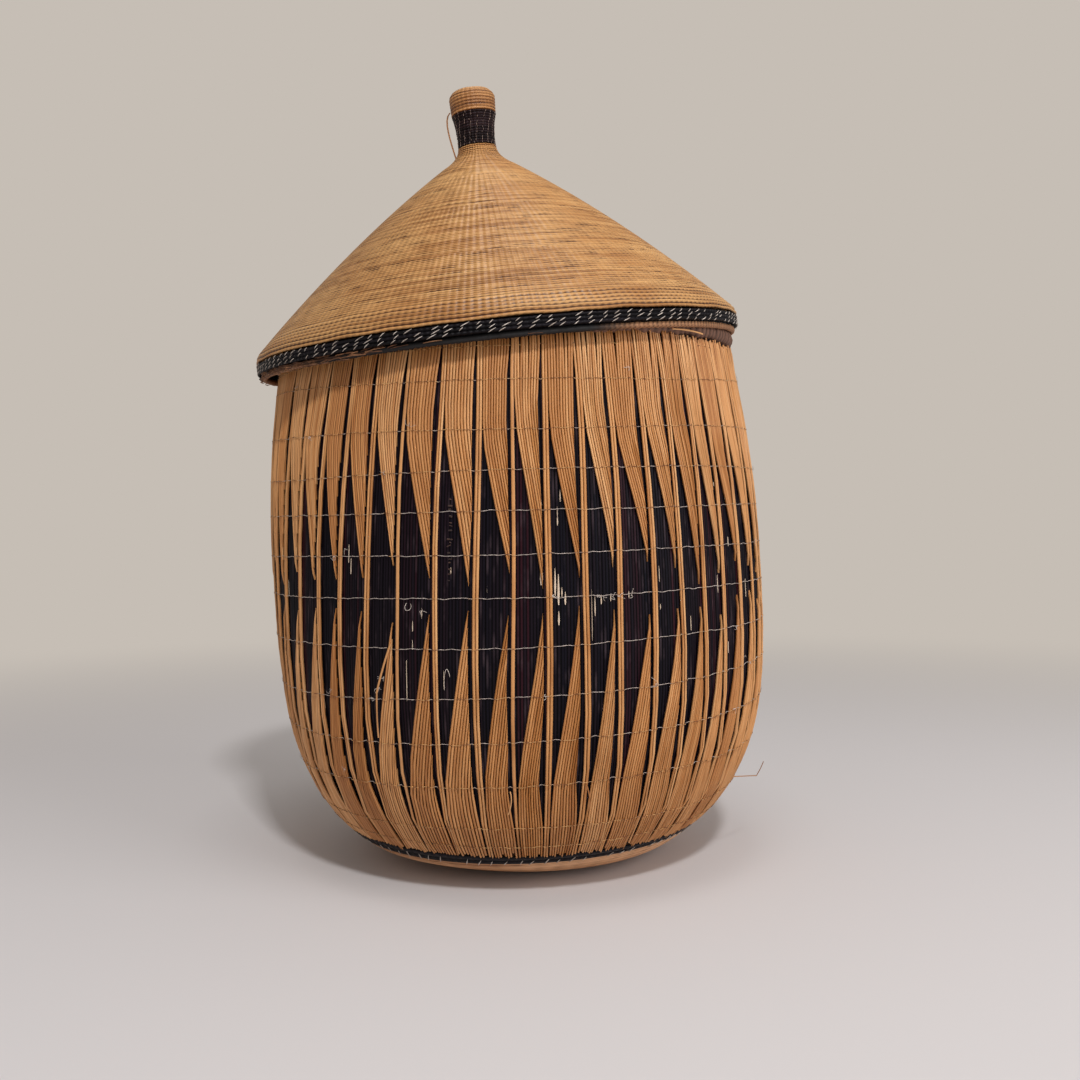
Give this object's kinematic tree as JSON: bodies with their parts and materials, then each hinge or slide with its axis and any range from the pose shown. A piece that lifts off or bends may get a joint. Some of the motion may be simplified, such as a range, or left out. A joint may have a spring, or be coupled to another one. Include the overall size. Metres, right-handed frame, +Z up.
{
  "type": "lidded coiled basket",
  "caption": "Tall coiled basket with a rounded, reed-covered wall bound by tie threads, a flat foot, and a loose conical coiled lid with an inner collar and a waisted knob.",
  "frame": {"origin": "centre of the flat foot, on the surface that the basket stands on", "axes": "+Z up; -Y is the side that faces the viewer, towards which the rim dips; the basket leans towards -X"},
  "size_m": [0.2623, 0.2573, 0.3934],
  "materials": {
    "natural_coil": "coiled natural grass and sisal, satin",
    "natural_reed": "split natural reed, satin",
    "dyed_reed": "black dyed reed, satin",
    "black_coil": "black dyed fibre, stitched",
    "tie_thread": "pale grey-beige twisted thread",
    "brown_wrap": "dark brown fibre wrapping, matt"
  },
  "bodies": {
    "basket": {"foot_coil": "natural_coil", "wall_coil": "natural_coil", "base_band": "black_coil", "dyed_reeds": "dyed_reed", "natural_reeds": "natural_reed", "rim_coil": "brown_wrap", "tie_thread_01": "tie_thread", "tie_thread_02": "tie_thread", "tie_thread_03": "tie_thread", "tie_thread_04": "tie_thread", "tie_thread_05": "tie_thread", "tie_thread_06": "tie_thread", "tie_thread_07": "tie_thread", "tie_thread_08": "tie_thread", "tie_thread_09": "tie_thread", "tie_thread_10": "tie_thread", "tie_thread_11": "tie_thread", "tie_thread_12": "tie_thread"},
    "lid": {"lid_edge_coil": "brown_wrap", "lid_black_band": "black_coil", "lid_cone": "natural_coil", "lid_collar": "natural_coil", "knob_waist": "black_coil", "knob_cap": "natural_coil"}
  },
  "joints": [
    {"name": "lid_lift", "type": "slide", "parent": "basket", "child": "lid", "axis": [-0.0939, -0.0836, 0.9921], "range_m": [0, 0.12]}
  ]
}
